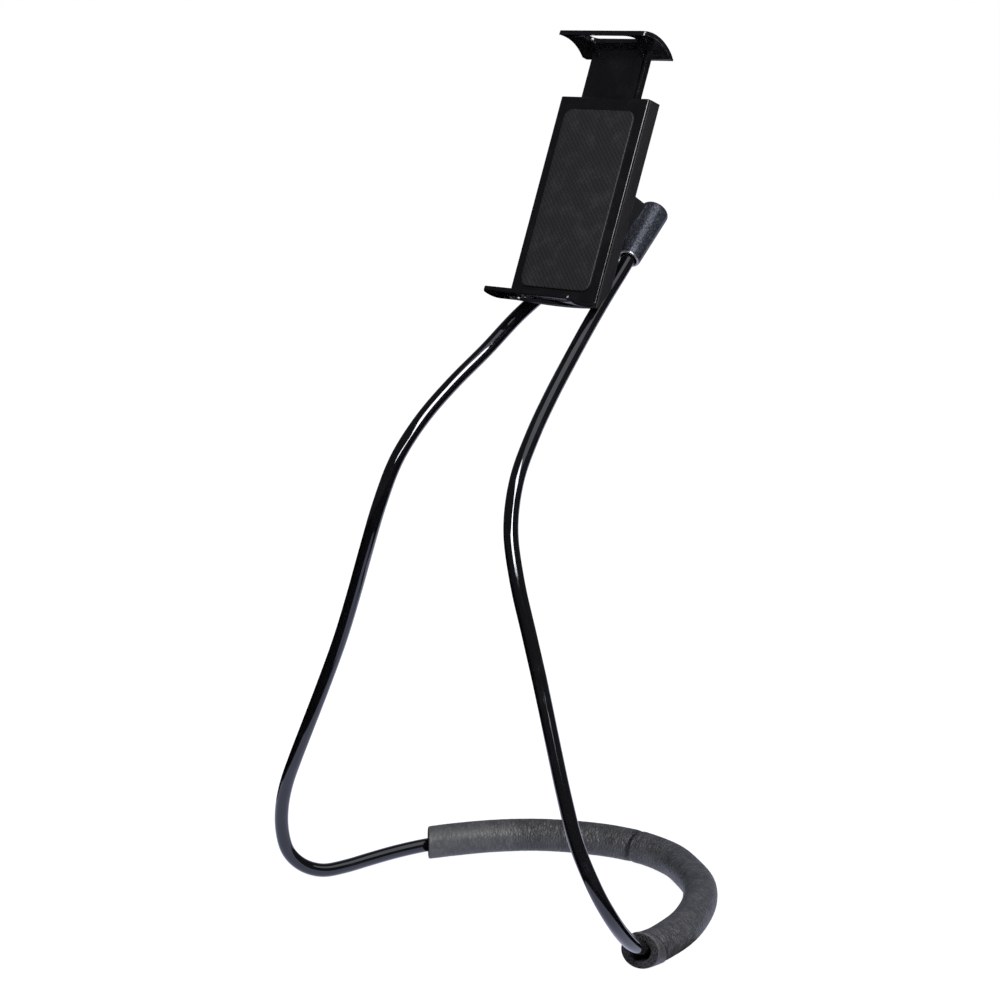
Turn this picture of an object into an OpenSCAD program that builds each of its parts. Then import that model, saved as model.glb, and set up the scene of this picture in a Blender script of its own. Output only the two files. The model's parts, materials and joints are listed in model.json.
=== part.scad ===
/* [Clamp] */
// Width of the clamp's housing and jaws
clamp_w = 60; // [52:1:68]
// Length of the clamp's housing
housing_h = 107.5; // [98:0.5:115]
// Depth of the clamp from the plate's face to the housing's back
clamp_d = 9.5; // [9:0.1:12]
// Thickness of the front plate
plate_t = 1.6; // [1.2:0.1:2]
// Wall of the rear housing
housing_wall = 1.8; // [1.5:0.1:2]
// Thickness of the rubber pad on the plate
pad_t = 1; // [0.6:0.1:2]
// Lean of the clamp back from vertical, in degrees
clamp_lean = 21; // [18:1:35]

/* [Jaws] */
// Reach of the lower jaw in front of the plate
lower_reach = 19.7; // [15:0.1:24]
// Radius to which the lower jaw is bowed
lower_bow_r = 31; // [24:0.5:45]
// Thickness of both jaws
jaw_t = 2.2; // [1.8:0.1:2.8]
// Rise of the upper jaw's crown above the housing's top
upper_rise = 30.8; // [29:0.1:45]
// Radius of the upper jaw's crown
crown_r = 25.5; // [22:0.5:30]
// Reach of the upper jaw in front of the plate
upper_reach = 14.7; // [11:0.1:18]
// Reach of the upper jaw behind the plate's face
upper_back = 10.6; // [9:0.1:12]
// Length of the window through each jaw
window_l = 33; // [24:1:40]
// Width of the window through each jaw
window_w = 9; // [6:0.5:10]
// Width of the slider under the upper jaw
slider_w = 38; // [36:0.5:42]
// Thickness of the slider
slider_t = 3.2; // [2.6:0.1:3.4]
// Travel of the upper jaw outwards from where it stands
travel_out = 25; // [15:1:28]
// Travel of the upper jaw inwards from where it stands
travel_in = 21; // [12:1:21]

/* [Springs] */
// Outer diameter of each jaw spring
spring_od = 4.4; // [3.6:0.1:4.6]
// Diameter of the spring wire
spring_wire = 0.6; // [0.4:0.05:0.7]
// Turns in each jaw spring
spring_turns = 12; // [8:1:16]

/* [Joint] */
// Distance of the tilt pin behind the plate's face
hinge_n = 19.4; // [19:0.1:21]
// Height of the swivel and the tilt pin above the plate's bottom edge
pivot_u = 50; // [46:0.5:54]
// Diameter of the tilt bolt
tilt_bolt_d = 4; // [3:0.5:5]
// Radius of the knuckle and the fork's ears round the bolt
knuckle_r = 5.5; // [5:0.1:5.8]
// Half width of the yoke's knuckle
knuckle_half = 5; // [4:0.1:6]
// Thickness of each ear of the fork
ear_t = 4; // [3:0.1:4.5]
// Radius of the swivel disc
disc_r = 17; // [14:0.5:18]
// Thickness of the swivel disc
disc_t = 3; // [2:0.1:3.2]
// Radius of the spindle that turns in the housing
spindle_r = 5; // [4:0.1:5.6]

/* [Sockets] */
// Distance of each socket's mouth from the middle
mouth_x = 17.5; // [16:0.5:22]
// Outer radius of a socket at its mouth
mouth_r = 5.6; // [5.4:0.1:6.2]
// Outer radius of a socket near its closed end
socket_r = 7.4; // [6.8:0.1:8]
// Length of a socket
socket_l = 35; // [32:0.5:40]
// Depth of a socket's bore
bore_l = 24; // [18:0.5:28]
// Lean of the sockets behind the yoke, in degrees
socket_lean = 27; // [22:1:28]
// Splay of each socket away from the middle, in degrees
splay = 8; // [4:0.5:9]

/* [Neck loop] */
// Outer diameter of the glossy tube
tube_od = 7.2; // [6.8:0.1:7.4]
// Bore of the glossy tube
tube_id = 4.6; // [4:0.1:5]
// Diameter of the bendable core wire
core_d = 4.2; // [3:0.1:4.4]
// Outer diameter of the foam sleeve
foam_od = 17.8; // [16:0.1:19]
// Bore of the foam sleeve
foam_id = 10.4; // [10:0.1:11]
// Half spread of the arms at the front bends
bend_x = 115; // [110:1:120]

/* [Hidden] */
$fn = 48;
eps = 0.01;
// Gap of a turning or sliding fit, and of a loose one
fit = 0.05;
play = 0.2;

// Where the tilt pin lies, behind the arms' tops and above the floor
hinge_y = 20.3;
hinge_z = 350.5;
// Lean of the yoke, and each socket's mouth behind and below the tilt pin
yoke_lean = 21;
mouth_n = 9;
mouth_u = -17.5;

// The object's own origin: the middle of its depth, on the floor
origin_y = -18.4;

// Insides of the clamp, from the plate's face back
inner_back = clamp_d - housing_wall;
slider_n = (plate_t + inner_back - slider_t) / 2;
spring_n = (plate_t + inner_back) / 2;
// Jaw springs: how far out they lie, their lower posts, and their pegs above the slider's foot
spring_x = 13.8;
post_u = 10;
post_r = 0.9;
slider_foot = 48;
foot_hook = 3;
// The slider's slot round the spindle, and the barbs that stop it on its way out
slot_x = 8.6;
slot_top = pivot_u + 8 + travel_in + 0.5;
barb_w = 2.5;
barb_h = 3;
stop_x = slider_w / 2 + 1.7;
stop_t = 2.6;
// Ribs that guide the slider
rib_x = 15;
rib_t = 2;
rib_gap = 0.15;
rib_foot = 56;
// Middle of the upper jaw's crown and of its window, from the plate's face
crown_n = -7.4;
window_n = -6.5;
// Screws that hold the housing to the plate
screw_x = clamp_w / 2 - 4.9;
screw_u = [14, housing_h - 7];
screw_boss_r = 2.4;

// The lower rear edge of the housing is cut back from this depth so that it swings past the arms
sweep_n = 4;
sweep_r = 57.2;
sweep_back_r = 48.4;

// Pieces stacked behind the housing
washer_t = 0.8;
washer_n = clamp_d + 0.1;
disc_n = washer_n + washer_t;
ear_x = knuckle_half + 0.9;
head_t = 2.6;
bolt_grip = ear_x + ear_t;
boss_n = inner_back - 1.7;

// The neck loop's route: round numbers chosen by hand, from the right arm's top to its bend.
// The left arm mirrors it, and the base runs from the left bend to the right one on the floor.
arm = [[20.4, 4.4, 315.4], [25, -13.2, 302], [29.2, -32, 285.6], [34.2, -50.4, 270],
    [38.8, -67.6, 253], [42.4, -81.6, 234], [46.4, -89.6, 212], [53.4, -92.4, 188.6],
    [62.4, -93.2, 164], [72, -94.4, 139], [82, -96.8, 114.6], [92.6, -99.4, 90],
    [101.4, -100.8, 71]];
left_bend = [[-108.5, -101, 56], [-113, -100.6, 42], [-bend_x, -99, 28.5], [-114.4, -95.4, 16],
    [-111.3, -88.2, 7.8], [-107, -80, 4.1]];
base = [[-103.6, -66, 3.7], [-101, -52, 4.8], [-97, -36, 6.4], [-90.4, -16.4, 7.8],
    [-84, -1, 8.2], [-74, 17, 8.4], [-60, 34, 8.6], [-41, 48, 8.6], [-20, 57, 8.6],
    [1, 59.5, 8.6], [22, 56, 8.6], [42, 46, 8.8], [60, 34, 9], [75, 18, 9.2],
    [87, 0, 9.4], [96, -18, 9.6], [101.4, -35, 9.8], [104, -48, 10.2], [106.4, -60, 11.2]];
right_bend = [[110.4, -71, 17], [113.4, -81.6, 25.4], [bend_x, -91.6, 36.6],
    [113, -97.2, 46.8], [109, -100, 57]];
foam_first = 3;
foam_last = 18;
// The tube lifts the sleeve's last end off the floor as it rises out of it
foam_lift = 1;
// The tube stops this far short of the bore's end, to leave room for the ferrule on the wire
tube_short = 6;
ferrule_l = 5.6;

function unit(v) = v / norm(v);
function mirrored(p) = [-p[0], p[1], p[2]];
function reversed(list) = [for (i = [len(list) - 1:-1:0]) list[i]];

// A vector turned back by an angle about the X axis
function leaned(v, angle) = [v[0], v[1] * cos(angle) + v[2] * sin(angle),
    v[2] * cos(angle) - v[1] * sin(angle)];

// A point on the right socket's axis, at a distance up from its mouth
function on_socket(s) = [0, hinge_y, hinge_z] + leaned([mouth_x, mouth_n, mouth_u]
    + s * leaned([-sin(splay), 0, cos(splay)], socket_lean), yoke_lean);

// The whole route of the wire, from the left socket to the right one
function wire_route(depth) = concat(
    [mirrored(on_socket(depth)), mirrored(on_socket(depth / 2)), mirrored(on_socket(-3))],
    [for (p = arm) mirrored(p)], left_bend, base, right_bend, reversed(arm),
    [on_socket(-3), on_socket(depth / 2), on_socket(depth)]);

// A smooth curve through a list of points, in steps between each two of them
function slope(p, i) =
    i == 0 ? unit(p[1] - p[0]) :
    i == len(p) - 1 ? unit(p[i] - p[i - 1]) :
    let (a = p[i] - p[i - 1], b = p[i + 1] - p[i])
    (a * norm(b) / norm(a) + b * norm(a) / norm(b)) / (norm(a) + norm(b));
function between(p, i, t) =
    let (h = norm(p[i + 1] - p[i]))
    (2 * t * t * t - 3 * t * t + 1) * p[i] + (t * t * t - 2 * t * t + t) * h * slope(p, i)
    + (3 * t * t - 2 * t * t * t) * p[i + 1] + (t * t * t - t * t) * h * slope(p, i + 1);
function smooth(p, steps) = [for (i = [0:len(p) - 2], k = [0:steps - 1]) between(p, i, k / steps),
    p[len(p) - 1]];

// Directions along a path, and normals carried along it without twist
function directions(p) = [for (i = [0:len(p) - 1])
    unit(p[min(i + 1, len(p) - 1)] - p[max(i - 1, 0)])];
function level(v, d) = unit(v - (v * d) * d);
function normals(d) = [for (i = 0, n = level([1, 0.2, 0.1], d[0]); i < len(d);
    i = i + 1, n = i < len(d) ? level(n, d[i]) : n) n];
function ring(c, d, n, r, sides) = [for (k = [0:sides - 1])
    let (a = 360 * k / sides) c + r * (cos(a) * n + sin(a) * cross(d, n))];

// A round bar or, with a bore, a tube swept along a path
module sweep(path, r, bore = 0, sides = 10) {
    d = directions(path);
    n = normals(d);
    count = len(path);
    outer = [for (i = [0:count - 1]) each ring(path[i], d[i], n[i], r, sides)];
    inner = [for (i = [0:count - 1]) each ring(path[i], d[i], n[i], bore, sides)];
    last = (count - 1) * sides;
    whole = count * sides;
    walls = [for (i = [0:count - 2], k = [0:sides - 1])
        let (a = i * sides + k, b = i * sides + (k + 1) % sides)
        each [[a, b, a + sides], [b, b + sides, a + sides]]];
    bore_walls = [for (f = walls) [f[0] + whole, f[2] + whole, f[1] + whole]];
    rims = [for (k = [0:sides - 1]) let (b = (k + 1) % sides)
        each [[k, k + whole, b], [b, k + whole, b + whole],
            [last + k, last + b, last + k + whole],
            [last + b, last + b + whole, last + k + whole]]];
    ends = [[for (k = [sides - 1:-1:0]) k], [for (k = [0:sides - 1]) last + k]];
    if (bore > 0)
        polyhedron(concat(outer, inner), concat(walls, bore_walls, rims), convexity = 12);
    else
        polyhedron(outer, concat(walls, ends), convexity = 12);
}

// Places: the whole object on its origin, the yoke, each socket and the clamp.
// In the clamp X runs across, Y runs back from the plate's face and Z runs up the plate.
module on_floor() {
    translate([0, -origin_y, 0]) children();
}
module in_yoke() {
    on_floor() translate([0, hinge_y, hinge_z]) rotate([-yoke_lean, 0, 0]) children();
}
module both_sides() {
    children();
    mirror([1, 0, 0]) children();
}
module at_socket() {
    translate([mouth_x, mouth_n, mouth_u]) rotate([-socket_lean, 0, 0])
        rotate([0, -splay, 0]) children();
}
module in_clamp() {
    on_floor() translate([0, hinge_y, hinge_z]) rotate([-clamp_lean, 0, 0])
        translate([0, -hinge_n, -pivot_u]) children();
}

// A round bar along Y, from one depth to another
module bar(r, from, to) {
    translate([0, from, 0]) rotate([-90, 0, 0]) cylinder(r = r, h = to - from);
}
// A plate across the clamp's depth with two rounded edges at its back
module rounded_block(half_w, from, to, bottom, top, r) {
    translate([0, 0, bottom]) linear_extrude(top - bottom) {
        translate([-half_w, from]) square([2 * half_w, to - from - r]);
        translate([r - half_w, from]) square([2 * (half_w - r), to - from]);
        for (side = [-1, 1]) translate([side * (half_w - r), to - r]) circle(r);
    }
}
// A slot with round ends, across the clamp
module slot_across(length, width) {
    square([length - width, width], center = true);
    for (side = [-1, 1]) translate([side * (length - width) / 2, 0]) circle(width / 2);
}

// Neck loop
module core_wire() {
    color("silver") on_floor() sweep(smooth(wire_route(bore_l - 1), 2), core_d / 2, sides = 6);
}
module loop_tube() {
    color([0.06, 0.06, 0.07]) on_floor()
        sweep(smooth(wire_route(bore_l - tube_short), 2), tube_od / 2, tube_id / 2);
}
// The foam's middle lies at its own radius above the floor, so the tube rests high or low in it
module foam_sleeve() {
    along = [for (i = [foam_first:foam_last])
        [base[i][0], base[i][1], foam_od / 2 + (i == foam_last ? foam_lift : 0)]];
    color([0.25, 0.25, 0.26]) on_floor() sweep(smooth(along, 3), foam_od / 2, foam_id / 2, 16);
}
module wire_ferrules() {
    color("goldenrod") in_yoke() both_sides() at_socket() translate([0, 0, bore_l - tube_short])
        difference() {
            translate([0, 0, 0.1]) cylinder(r = tube_od / 2 - 0.3, h = ferrule_l);
            cylinder(r = core_d / 2 + fit, h = ferrule_l - 0.5);
        }
}

// Sockets
module socket_body() {
    cap_r = 2.6;
    rotate_extrude() {
        polygon([[0, 0], [mouth_r, 0], [mouth_r + 0.35, 1.2],
            [socket_r, socket_l - cap_r], [0, socket_l - cap_r]]);
        translate([0, socket_l - cap_r - eps]) square([socket_r - cap_r, cap_r + eps]);
        intersection() {
            translate([socket_r - cap_r, socket_l - cap_r]) circle(cap_r);
            translate([socket_r - cap_r - eps, socket_l - cap_r - eps]) square(2 * cap_r);
        }
    }
}
module socket_bore() {
    translate([0, 0, -1]) cylinder(r = tube_od / 2 + 0.8, h = 4);
    cylinder(r = tube_od / 2 + play, h = bore_l);
}
module set_screw_axis() {
    translate([0, 0, 11]) rotate([0, 0, 60]) rotate([-90, 0, 0]) children();
}
module socket_yoke() {
    web_n = 5.8;
    web_half = 13.5;
    color([0.17, 0.17, 0.19]) in_yoke() difference() {
        union() {
            both_sides() at_socket() socket_body();
            // The web between the sockets, and the knuckle round the tilt bolt
            translate([-web_half, 0, 0]) rotate([90, 0, 90]) linear_extrude(2 * web_half)
                polygon([[web_n, -13], [11.2, -13.6], [22.6, 12.2], [web_n + 1, 14.6],
                    [web_n, 13.4]]);
            translate([-knuckle_half, 0, 0]) rotate([90, 0, 90])
                linear_extrude(2 * knuckle_half) {
                    circle(knuckle_r);
                    translate([0, -knuckle_r]) square([web_n + 1, 2 * knuckle_r]);
                }
        }
        translate([-knuckle_half - 1, 0, 0]) rotate([0, 90, 0])
            cylinder(r = tilt_bolt_d / 2 + fit, h = 2 * knuckle_half + 2);
        both_sides() at_socket() {
            socket_bore();
            set_screw_axis() cylinder(r = 1.55, h = 12);
        }
    }
}
module set_screws() {
    color("dimgray") in_yoke() both_sides() at_socket() set_screw_axis() difference() {
        translate([0, 0, tube_od / 2 + 0.1]) cylinder(r = 1.5, h = 2.6);
        translate([0, 0, tube_od / 2 + 1.7]) cylinder(r = 0.8, h = 2, $fn = 6);
    }
}

// Tilt joint
module across_pin(r, from, to, sides = 48) {
    translate([from, 0, 0]) rotate([0, 90, 0]) cylinder(r = r, h = to - from, $fn = sides);
}
module at_pin() {
    in_clamp() translate([0, hinge_n, pivot_u]) children();
}
module tilt_bolt() {
    color("silver") at_pin() {
        across_pin(tilt_bolt_d / 2, -bolt_grip - 1, bolt_grip + head_t);
        difference() {
            across_pin(tilt_bolt_d / 2 + 1.6, -bolt_grip - head_t, -bolt_grip);
            across_pin(1.25, -bolt_grip - head_t - 1, -bolt_grip - 1.4, 6);
        }
    }
}
module tilt_nut() {
    color("silver") at_pin() difference() {
        across_pin(tilt_bolt_d / 2 + 2, bolt_grip, bolt_grip + 2.4, 6);
        across_pin(tilt_bolt_d / 2 + fit, 0, bolt_grip + 4);
    }
}
module tilt_washers() {
    color("ivory") at_pin() both_sides() difference() {
        across_pin(knuckle_r - 0.5, knuckle_half + 0.1, ear_x);
        across_pin(tilt_bolt_d / 2 + fit, 0, ear_x + 1);
    }
}

// Swivel
module swivel_fork() {
    foot = knuckle_r + 3;
    color([0.1, 0.1, 0.11]) difference() {
        union() {
            in_clamp() translate([0, 0, pivot_u]) {
                bar(disc_r, disc_n, disc_n + disc_t);
                bar(spindle_r, boss_n - 0.1, disc_n + 1);
            }
            at_pin() both_sides() translate([ear_x, 0, 0]) rotate([90, 0, 90])
                linear_extrude(ear_t) {
                    circle(knuckle_r);
                    polygon([[disc_n + 1 - hinge_n, -foot], [-knuckle_r * 0.55, -foot + 0.6],
                        [knuckle_r * 0.5, -knuckle_r * 0.866], [knuckle_r * 0.5, knuckle_r * 0.866],
                        [-knuckle_r * 0.55, foot - 0.6], [disc_n + 1 - hinge_n, foot]]);
                }
        }
        at_pin() across_pin(tilt_bolt_d / 2 + 0.02, -20, 20);
        in_clamp() translate([0, 0, pivot_u]) bar(1.25, 0, disc_n + 1.5);
    }
}
module swivel_washer() {
    color("ivory") in_clamp() translate([0, 0, pivot_u]) difference() {
        bar(disc_r - 3, washer_n, disc_n);
        bar(spindle_r + 0.1, washer_n - 1, disc_n + 1);
    }
}
module retaining_washer() {
    color("silver") in_clamp() translate([0, 0, pivot_u]) difference() {
        bar(spindle_r + 2, boss_n - 0.9, boss_n - 0.1);
        bar(1.3, boss_n - 2, boss_n + 1);
    }
}
module spindle_screw() {
    color("dimgray") in_clamp() translate([0, 0, pivot_u]) {
        bar(2.6, boss_n - 2.5, boss_n - 0.9);
        bar(1.2, boss_n - 1, disc_n);
    }
}

// Clamp
module front_plate() {
    // The jaw's underside is an arc that starts in the plate's foot and is lowest behind its lip
    bow_n = -0.6 * lower_reach;
    bow_u = sqrt(pow(lower_bow_r, 2) - pow(plate_t / 2 - bow_n, 2));
    corner = 3;
    color([0.07, 0.07, 0.08]) in_clamp() difference() {
        union() {
            translate([-clamp_w / 2, 0, 0]) cube([clamp_w, plate_t, housing_h]);
            intersection() {
                translate([-clamp_w / 2, 0, 0]) rotate([90, 0, 90]) linear_extrude(clamp_w)
                    difference() {
                        translate([bow_n, bow_u]) circle(lower_bow_r, $fn = 96);
                        translate([bow_n, bow_u]) circle(lower_bow_r - jaw_t, $fn = 96);
                        translate([-2 * lower_bow_r, 2 * jaw_t]) square(4 * lower_bow_r);
                        translate([0.75 * plate_t, -lower_bow_r]) square(2 * lower_bow_r);
                    }
                // Rounded front corners, seen from above
                translate([0, 0, -10]) linear_extrude(20) {
                    translate([-clamp_w / 2, corner - lower_reach])
                        square([clamp_w, lower_reach + 2]);
                    translate([corner - clamp_w / 2, -lower_reach])
                        square([clamp_w - 2 * corner, lower_reach]);
                    for (side = [-1, 1])
                        translate([side * (clamp_w / 2 - corner), corner - lower_reach])
                            circle(corner);
                }
            }
            for (side = [-1, 1], u = screw_u)
                translate([side * screw_x, 0, u]) bar(screw_boss_r, plate_t - eps, boss_n);
            for (side = [-1, 1])
                translate([side * rib_x - rib_t / 2, plate_t - eps, rib_foot])
                    cube([rib_t, slider_n - plate_t - rib_gap, housing_h - 6 - rib_foot]);
        }
        translate([0, -lower_reach / 2, -10]) linear_extrude(12) slot_across(window_l, window_w);
        for (side = [-1, 1], u = screw_u)
            translate([side * screw_x, 0, u]) bar(1.15, plate_t + 0.4, boss_n + 1);
    }
}
module swept_edge(grow) {
    translate([0, 0, pivot_u]) rotate([-90, 0, 0])
        rotate_extrude(angle = 120, start = 30, $fn = 96)
            polygon([[sweep_r - grow, sweep_n], [sweep_back_r - grow, clamp_d + 0.02],
                [sweep_r + 30, clamp_d + 0.02], [sweep_r + 30, sweep_n]]);
}
module rear_housing() {
    wall = housing_wall;
    half = clamp_w / 2;
    color([0.2, 0.2, 0.21]) in_clamp() difference() {
        union() {
            difference() {
                rounded_block(half, plate_t, clamp_d, 0, housing_h, 1.2);
                difference() {
                    rounded_block(half - wall, plate_t - 1, inner_back, wall, housing_h - wall, 0.6);
                    swept_edge(wall);
                }
                swept_edge(0);
            }
            translate([0, 0, pivot_u]) bar(spindle_r + 2, boss_n, clamp_d - 1);
            for (side = [-1, 1]) {
                for (u = screw_u)
                    translate([side * screw_x, 0, u]) bar(screw_boss_r + 0.8, boss_n, clamp_d - 1);
                // Posts for the springs, ribs that guide the slider and stops for its barbs
                translate([side * spring_x, 0, post_u]) bar(post_r, slider_n, inner_back + 0.5);
                translate([side * rib_x - rib_t / 2, slider_n + slider_t + rib_gap, rib_foot + 4])
                    cube([rib_t, inner_back - slider_n - slider_t,
                        housing_h - wall - rib_foot - 4]);
                translate([side * stop_x - stop_t / 2, slider_n,
                    slider_foot + barb_h + travel_out + play])
                    cube([stop_t, inner_back - slider_n + 0.5, 3]);
            }
        }
        // The slider's slot through the top wall
        translate([-slider_w / 2 - play, slider_n - play, housing_h - 5])
            cube([slider_w + 2 * play, slider_t + 2 * play, 10]);
        translate([0, 0, pivot_u]) bar(spindle_r + fit, 0, clamp_d + 1);
        for (side = [-1, 1], u = screw_u) translate([side * screw_x, 0, u]) {
            bar(1.3, 0, clamp_d + 1);
            bar(2.3, clamp_d - 1.6, clamp_d + 1);
        }
    }
}
module housing_screws() {
    color("dimgray") in_clamp() for (side = [-1, 1], u = screw_u)
        translate([side * screw_x, 0, u]) difference() {
            union() {
                bar(2.1, clamp_d - 1.6, clamp_d - 0.2);
                bar(1.1, plate_t + 1, clamp_d - 1.2);
            }
            for (turn = [0, 90]) rotate([0, turn, 0])
                translate([-1.3, clamp_d - 0.9, -0.3]) cube([2.6, 2, 0.6]);
        }
}
module grip_pad() {
    pad_w = clamp_w - 12;
    pad_r = 5;
    color([0.09, 0.09, 0.09]) in_clamp() translate([0, 0, housing_h / 2]) rotate([90, 0, 0])
        linear_extrude(pad_t) union() {
            square([pad_w, housing_h - 14 - 2 * pad_r], center = true);
            square([pad_w - 2 * pad_r, housing_h - 14], center = true);
            for (x = [-1, 1], z = [-1, 1])
                translate([x * (pad_w / 2 - pad_r), z * (housing_h / 2 - 7 - pad_r)])
                    circle(pad_r);
        }
}
module upper_jaw() {
    crown_u = housing_h + upper_rise - crown_r;
    // Its rear edge is cut level, where the crown's outside reaches back to the jaw's depth
    crown_end = sqrt(pow(crown_r, 2) - pow(upper_back - crown_n, 2));
    corner = 3;
    rear_corner = 1;
    half = slider_w / 2;
    stem_top = crown_u + crown_r - jaw_t - 2.1;
    color([0.07, 0.07, 0.08]) in_clamp() difference() {
        union() {
            intersection() {
                translate([-clamp_w / 2, 0, 0]) rotate([90, 0, 90]) linear_extrude(clamp_w)
                    difference() {
                        translate([crown_n, crown_u]) circle(crown_r, $fn = 96);
                        translate([crown_n, crown_u]) circle(crown_r - jaw_t, $fn = 96);
                        translate([-2 * crown_r, crown_u + crown_end - 2 * crown_r])
                            square([4 * crown_r, 2 * crown_r]);
                    }
                // Cut to the jaw's reach, with rounded corners, the rear ones small
                translate([0, 0, housing_h]) linear_extrude(60) {
                    translate([-clamp_w / 2, corner - upper_reach])
                        square([clamp_w, upper_reach + upper_back - corner - rear_corner]);
                    translate([corner - clamp_w / 2, -upper_reach])
                        square([clamp_w - 2 * corner, upper_reach]);
                    translate([rear_corner - clamp_w / 2, 0])
                        square([clamp_w - 2 * rear_corner, upper_back]);
                    for (side = [-1, 1]) {
                        translate([side * (clamp_w / 2 - corner), corner - upper_reach])
                            circle(corner);
                        translate([side * (clamp_w / 2 - rear_corner), upper_back - rear_corner])
                            circle(rear_corner);
                    }
                }
            }
            translate([-half, slider_n, slider_foot])
                cube([slider_w, slider_t, stem_top - slider_foot]);
            for (side = [-1, 1]) {
                translate([side * half - barb_w / 2 + side * (barb_w / 2 - eps), slider_n,
                    slider_foot]) cube([barb_w, slider_t, barb_h]);
                // Ribs under the crown
                translate([side * rib_x - rib_t / 2, slider_n, housing_h + travel_in + 0.8])
                    rotate([90, 0, 90]) linear_extrude(rib_t)
                        polygon([[0.5, 0], [0.5, 5.2], [-6, 6.8], [-6, 6]]);
            }
        }
        translate([0, window_n, housing_h + 20]) linear_extrude(30) slot_across(window_l, window_w);
        translate([-slot_x, 0, slider_foot - 1]) cube([2 * slot_x, 10, slot_top - slider_foot + 1]);
        // A pocket at each foot, round the peg that holds the spring
        for (side = [-1, 1]) translate([side * spring_x, 0, slider_foot + foot_hook])
            difference() {
                translate([-2.6, slider_n + 0.8, -foot_hook - 1])
                    cube([5.2, slider_t, foot_hook + 4]);
                bar(post_r, slider_n, slider_n + slider_t);
            }
    }
}

// An extension spring: an eye round each post, and turns between them
module jaw_spring(side) {
    low = post_u;
    high = slider_foot + foot_hook;
    eye = post_r + spring_wire / 2 + 0.1;
    coil_r = (spring_od - spring_wire) / 2;
    start = low + 4;
    end = high - 4;
    steps = 10;
    path = concat(
        [for (a = [20:40:340]) [eye * sin(a + 180), 0, low - eye * cos(a + 180)]],
        [for (i = [0:spring_turns * steps])
            let (s = i / (spring_turns * steps), a = 360 * i / steps,
                r = coil_r * min(1, 6 * s + 0.1, 6 * (1 - s) + 0.1))
            [r * cos(a), r * sin(a), start + (end - start) * s]],
        [for (a = [20:40:340]) [eye * sin(a), 0, high - eye * cos(a)]]);
    color("lightgray") in_clamp() translate([side * spring_x, spring_n, 0])
        sweep(path, spring_wire / 2, sides = 5);
}
module spring_left() { jaw_spring(-1); }
module spring_right() { jaw_spring(1); }

core_wire();
loop_tube();
foam_sleeve();
wire_ferrules();
socket_yoke();
set_screws();
tilt_bolt();
tilt_nut();
tilt_washers();
swivel_fork();
swivel_washer();
retaining_washer();
spindle_screw();
front_plate();
rear_housing();
housing_screws();
grip_pad();
upper_jaw();
spring_left();
spring_right();
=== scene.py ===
# %% [markdown]
# A neck phone holder, dressed in Blender. The real one is a bendable wire in a glossy black tube,
# bent into a loop that stands on a table or hangs round a neck. A foam sleeve pads the nape, and
# a spring clamp tilts and turns on a pair of sockets at the top. The shapes that carry load come
# ready made, in metres, and this lesson gives them the surfaces that the eye sees. The frame
# comes first, because every piece made below is placed by it and moves with its bodies.

# %% Load the frame
import json
import math

import bmesh
import bpy
import numpy as np
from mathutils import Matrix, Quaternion, Vector

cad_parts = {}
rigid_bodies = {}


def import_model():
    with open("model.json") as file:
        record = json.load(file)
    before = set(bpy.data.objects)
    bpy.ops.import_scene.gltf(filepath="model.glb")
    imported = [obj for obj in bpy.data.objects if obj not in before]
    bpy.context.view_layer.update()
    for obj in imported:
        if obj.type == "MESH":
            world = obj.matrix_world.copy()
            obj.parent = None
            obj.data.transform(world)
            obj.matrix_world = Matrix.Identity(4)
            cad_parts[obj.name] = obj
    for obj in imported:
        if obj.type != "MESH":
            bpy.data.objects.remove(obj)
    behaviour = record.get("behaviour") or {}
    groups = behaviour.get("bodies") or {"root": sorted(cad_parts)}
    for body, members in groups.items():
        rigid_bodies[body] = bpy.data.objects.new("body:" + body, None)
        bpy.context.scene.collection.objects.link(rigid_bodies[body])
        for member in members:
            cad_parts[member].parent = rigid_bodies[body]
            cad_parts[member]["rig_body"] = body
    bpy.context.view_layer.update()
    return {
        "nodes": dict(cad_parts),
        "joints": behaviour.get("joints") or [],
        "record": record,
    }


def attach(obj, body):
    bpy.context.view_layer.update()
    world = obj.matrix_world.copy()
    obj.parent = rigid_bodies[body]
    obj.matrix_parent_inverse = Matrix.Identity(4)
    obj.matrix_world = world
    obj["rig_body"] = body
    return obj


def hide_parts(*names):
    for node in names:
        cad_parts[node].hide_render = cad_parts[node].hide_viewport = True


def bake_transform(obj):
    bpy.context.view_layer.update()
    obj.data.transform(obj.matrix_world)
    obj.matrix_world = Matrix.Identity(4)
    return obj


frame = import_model()
joints = {joint["name"]: joint for joint in frame["joints"]}

# %% [markdown]
# Sizes are easier to read in millimetres, so every length below is one, and MM turns it into
# Blender's metres. The clamp leans back, so it has its own three directions: across it, back
# from the plate's face, and up the plate. The joints already know them: the jaw slides up the
# plate, and the swivel's axis points back. One function then places everything in the clamp.

# %% Units and the clamp's own directions
MM = 0.001
PIN = np.array(joints["clamp_tilt"]["pos_m"])
ACROSS = np.array([1.0, 0.0, 0.0])
BACK = np.array(joints["clamp_swivel"]["axis"])
UP = np.array(joints["jaw_slide"]["axis"])
HINGE_DEPTH = 19.4
PIVOT_HEIGHT = 50.0


def in_clamp(points):
    """Points given as across, back and up, in mm: the pin plus each length times its direction."""
    across, back, up = np.moveaxis(np.asarray(points, float), -1, 0)
    return PIN + MM * (across[..., None] * ACROSS + (back - HINGE_DEPTH)[..., None] * BACK
                       + (up - PIVOT_HEIGHT)[..., None] * UP)


# %% [markdown]
# The camera stands where the photographer stood: in front of the holder, to its right and a
# little above it. A long lens keeps the upright lines nearly parallel. It aims at a point just
# beside the middle of the loop, which leaves the clamp at the top and the foam at the bottom.

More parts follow.
